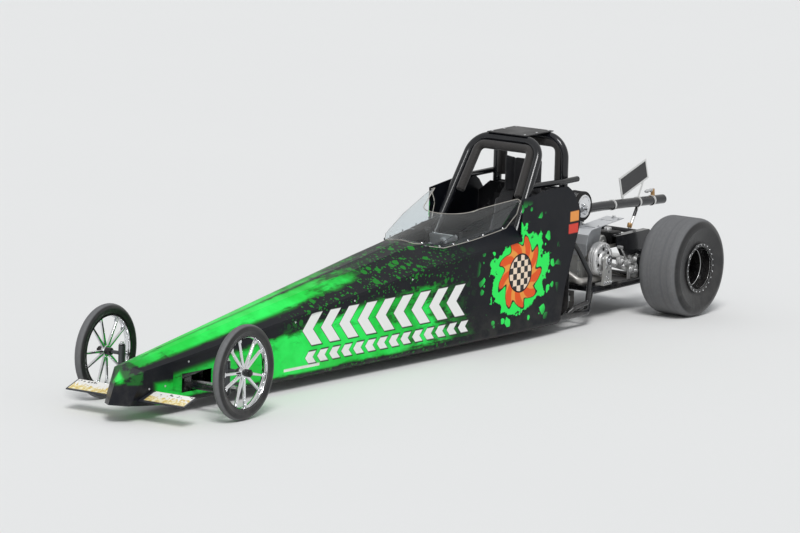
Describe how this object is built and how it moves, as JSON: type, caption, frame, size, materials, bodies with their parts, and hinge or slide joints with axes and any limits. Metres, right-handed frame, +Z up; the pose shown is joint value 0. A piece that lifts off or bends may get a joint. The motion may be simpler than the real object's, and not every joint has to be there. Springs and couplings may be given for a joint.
{
  "type": "junior drag racing car",
  "caption": "Half-scale rear-engined drag racing car: long wedge body, roll cage, open engine bay, wide rear slicks and spoked front wheels that steer.",
  "frame": {"origin": "on the ground, under the middle of the car's length and width", "axes": "+X to the nose, +Y to the car's left, +Z up"},
  "size_m": [4.31, 0.985, 0.9043],
  "materials": {
    "frame_black": "gloss black paint on steel tube",
    "hood_green": "gloss green fading to black at the cockpit",
    "panel_green": "gloss green fading to black towards the rear",
    "panel_black": "gloss black",
    "screen_clear": "clear plastic sheet",
    "foil_print": "mottled gold and white",
    "pad_foam": "matt foam",
    "seat_cloth": "black padded cover",
    "dash_black": "matt black",
    "engine_metal": "cast aluminium",
    "engine_black": "black filter element",
    "bright_metal": "polished",
    "plain_metal": "bare metal sheet",
    "chain_steel": "oiled chain",
    "box_plastic": "black case",
    "tank_metal": "satin tank",
    "board_white": "blank board in a pale frame",
    "tyre_front": "smooth rubber",
    "tyre_rear": "worn slick rubber",
    "rim_chrome": "polished spokes",
    "rim_black": "gloss black with polished steps",
    "grip": "soft grip"
  },
  "bodies": {
    "chassis": {"frame_front": "frame_black", "frame_cockpit": "frame_black", "frame_rear": "frame_black", "roll_hoop_front": "frame_black", "roll_hoop_rear": "frame_black", "cage_pads": "pad_foam", "roof_plate": "panel_black", "nose_cone": "panel_black", "hood": "hood_green", "side_panel_left": "panel_green", "side_panel_right": "panel_green", "belly_pan": "panel_black", "firewall": "plain_metal", "windshield": "screen_clear", "front_foils": "foil_print", "seat": "seat_cloth", "headrest": "seat_cloth", "dash_panel": "dash_black", "engine_crankcase": "engine_metal", "engine_cylinder": "engine_metal", "air_filter": "engine_black", "exhaust_pipe": "bright_metal", "clutch": "bright_metal", "clutch_support": "engine_metal", "clutch_guard": "plain_metal", "drive_chain": "chain_steel", "battery_box": "box_plastic", "fuel_tank": "tank_metal", "boom_tube": "frame_black", "number_board": "board_white", "front_axle": "frame_black"},
    "knuckle_left": {"knuckle_left": "plain_metal"},
    "knuckle_right": {"knuckle_right": "plain_metal"},
    "tie_rod": {"tie_rod": "plain_metal"},
    "steering_column": {"steering_shaft": "plain_metal", "steering_wheel": "grip"},
    "front_wheel_left": {"front_rim_left": "rim_chrome", "front_tyre_left": "tyre_front"},
    "front_wheel_right": {"front_rim_right": "rim_chrome", "front_tyre_right": "tyre_front"},
    "rear_axle_assembly": {"rear_axle": "plain_metal", "rear_sprocket": "bright_metal", "rear_rim_left": "rim_black", "rear_rim_right": "rim_black", "rear_tyre_left": "tyre_rear", "rear_tyre_right": "tyre_rear"}
  },
  "joints": [
    {"name": "steering_column_turn", "type": "hinge", "parent": "chassis", "child": "steering_column", "pos_m": [-0.31, 0, 0.47], "axis": [0.9859, 0, -0.1673], "range_deg": [-42, 42]},
    {"name": "steer_left", "type": "hinge", "parent": "chassis", "child": "knuckle_left", "pos_m": [1.7, 0.275, 0.18], "axis": [0, 0, 1], "range_deg": [-14, 14]},
    {"name": "steer_right", "type": "hinge", "parent": "chassis", "child": "knuckle_right", "pos_m": [1.7, -0.275, 0.18], "axis": [0, 0, 1], "range_deg": [-14, 14]},
    {"name": "tie_rod_pivot", "type": "hinge", "parent": "knuckle_left", "child": "tie_rod", "pos_m": [1.615, 0.275, 0.1125], "axis": [0, 0, 1], "range_deg": [-14, 14]},
    {"name": "front_wheel_left_spin", "type": "hinge", "parent": "knuckle_left", "child": "front_wheel_left", "pos_m": [1.7, 0.36, 0.203], "axis": [0, 1, 0], "continuous": true},
    {"name": "front_wheel_right_spin", "type": "hinge", "parent": "knuckle_right", "child": "front_wheel_right", "pos_m": [1.7, -0.36, 0.203], "axis": [0, 1, 0], "continuous": true},
    {"name": "rear_axle_spin", "type": "hinge", "parent": "chassis", "child": "rear_axle_assembly", "pos_m": [-1.72, 0, 0.2285], "axis": [0, 1, 0], "continuous": true}
  ],
  "couplings": [
    {"joint": "steer_left", "follows": "steering_column_turn", "ratio": -0.33333},
    {"joint": "steer_right", "follows": "steering_column_turn", "ratio": -0.33333},
    {"joint": "tie_rod_pivot", "follows": "steering_column_turn", "ratio": 0.33333}
  ]
}
